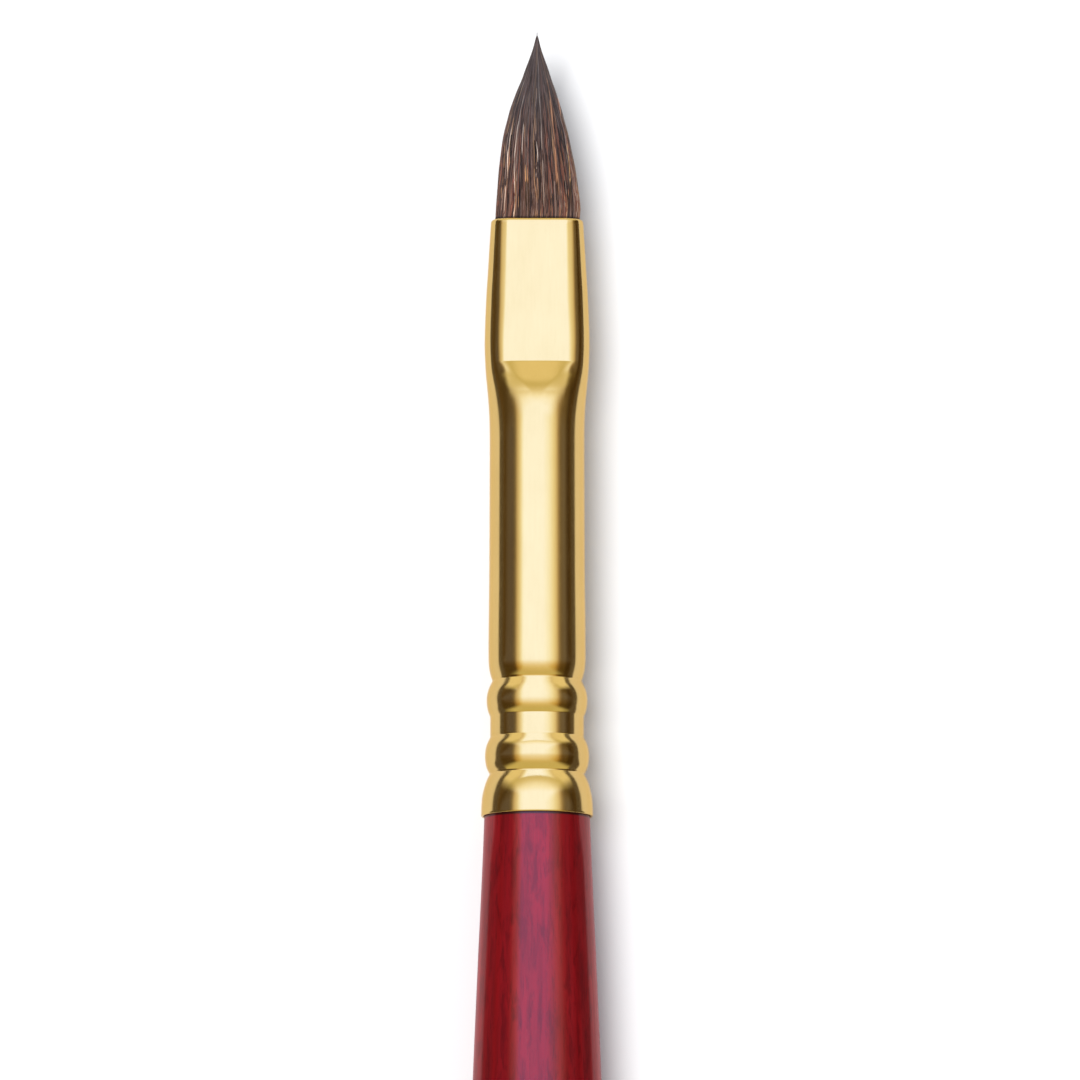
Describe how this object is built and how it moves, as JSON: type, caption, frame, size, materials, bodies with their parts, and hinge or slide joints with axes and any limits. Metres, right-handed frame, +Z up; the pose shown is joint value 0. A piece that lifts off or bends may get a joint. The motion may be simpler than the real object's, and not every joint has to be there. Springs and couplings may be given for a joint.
{
  "type": "artist paint brush",
  "caption": "Short-handled artist's paint brush: pointed filbert hair tuft in a gilt ferrule pressed flat at the mouth, with rolled beads, on a lacquered wooden handle.",
  "frame": {"origin": "under the middle of the brush's length, on the plane the handle's belly rests on", "axes": "+X along the brush from the handle to the tip of the hair, +Z up out of one of the ferrule's pressed flats, +Y across the width of the tuft"},
  "size_m": [0.2, 0.01, 0.0101],
  "materials": {
    "lacquered_wood": "burgundy stained hardwood under clear gloss lacquer",
    "gilt_brass": "polished gilt brass",
    "hair": "natural dark brown hair, satin, with lighter reddish and tan hairs",
    "cement": "set adhesive, amber",
    "epoxy": "set clear resin, amber",
    "thread": "undyed cotton thread"
  },
  "bodies": {
    "brush": {"handle": "lacquered_wood", "handle_cement": "cement", "ferrule": "gilt_brass", "hair_root_bundle": "hair", "binding_thread": "thread", "epoxy_plug": "epoxy"},
    "tuft": {"hair_lock_back_1": "hair", "hair_lock_back_2": "hair", "hair_lock_back_3": "hair", "hair_lock_back_4": "hair", "hair_lock_back_5": "hair", "hair_lock_core_1": "hair", "hair_lock_core_2": "hair", "hair_lock_core_3": "hair", "hair_lock_core_4": "hair", "hair_lock_core_5": "hair", "hair_lock_front_1": "hair", "hair_lock_front_2": "hair", "hair_lock_front_3": "hair", "hair_lock_front_4": "hair", "hair_lock_front_5": "hair"}
  },
  "joints": [
    {"name": "tuft_flex", "type": "hinge", "parent": "brush", "child": "tuft", "pos_m": [0.08771, 0, 0.00505], "axis": [0, 1, 0], "range_deg": [-23, 23], "stiffness_Nm_per_rad": 0.002}
  ]
}
